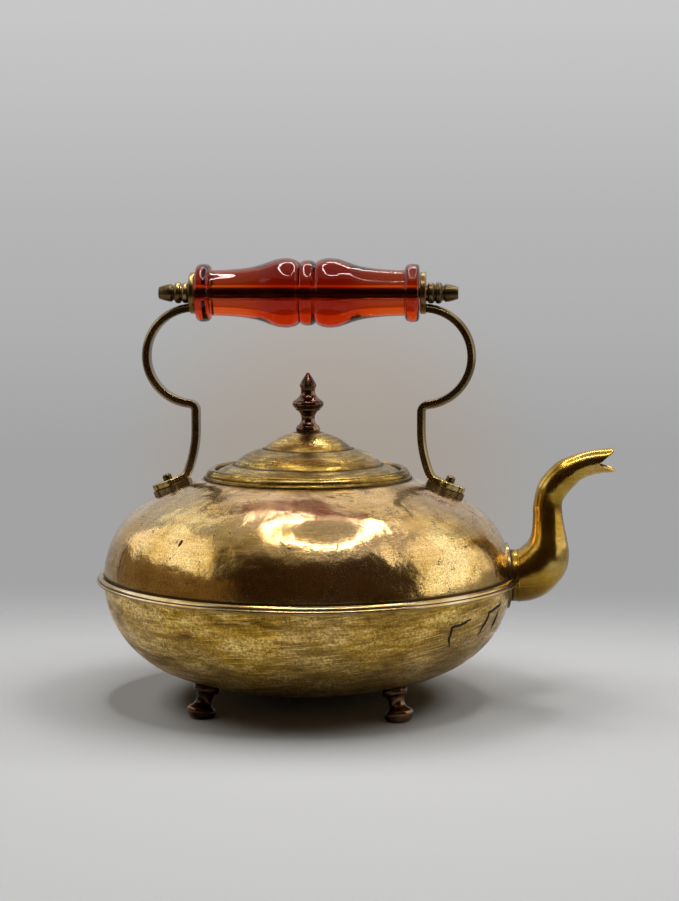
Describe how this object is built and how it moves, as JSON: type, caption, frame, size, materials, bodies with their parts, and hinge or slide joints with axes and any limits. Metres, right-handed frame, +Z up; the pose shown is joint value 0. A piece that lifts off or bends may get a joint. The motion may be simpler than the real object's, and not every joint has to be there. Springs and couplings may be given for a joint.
{
  "type": "tea kettle",
  "caption": "Squat footed brass tea kettle with folded seam, swan-neck spout, lift-off domed lid and a turned glass grip on curled riveted straps.",
  "frame": {"origin": "on the body's axis, in the plane that the feet stand on", "axes": "+Z up along the body's axis, +X towards the spout, the handle in the XZ plane"},
  "size_m": [0.2661, 0.218, 0.2282],
  "materials": {
    "polished_brass": "old polished brass, dented, with a pinkish tint on the shoulder",
    "satin_brass": "satin brass with fine level scratches",
    "lid_brass": "spun brass with turning lines",
    "spout_brass": "smooth golden brass",
    "dark_brass": "toned dark brass",
    "pad_brass": "blackened brass",
    "bronze": "dark red-brown bronze",
    "amber_glass": "pressed amber-red glass"
  },
  "bodies": {
    "kettle": {"upper_shell": "polished_brass", "lower_bowl": "satin_brass", "mouth_collar": "polished_brass", "spout": "spout_brass", "spout_plate": "dark_brass", "spout_ring": "spout_brass", "left_strap": "dark_brass", "right_strap": "dark_brass", "left_strap_pad": "pad_brass", "right_strap_pad": "pad_brass", "strap_rivets": "dark_brass", "rivet_burrs": "dark_brass", "tie_rod": "dark_brass", "left_end_nut": "dark_brass", "right_end_nut": "dark_brass", "foot_back_right": "bronze", "foot_back_left": "bronze", "foot_front_right": "bronze", "foot_front_left": "bronze", "foot_washers": "dark_brass", "foot_nuts": "dark_brass"},
    "lid": {"lid_dome": "lid_brass", "lid_sleeve": "lid_brass", "lid_finial": "bronze", "finial_washer": "dark_brass", "finial_nut": "dark_brass"},
    "grip": {"glass_grip": "amber_glass"}
  },
  "joints": [
    {"name": "lid_lift", "type": "slide", "parent": "kettle", "child": "lid", "axis": [0, 0, 1], "range_m": [0, 0.02]},
    {"name": "grip_turn", "type": "hinge", "parent": "kettle", "child": "grip", "pos_m": [0, 0, 0.21016], "axis": [1, 0, 0], "continuous": true}
  ]
}
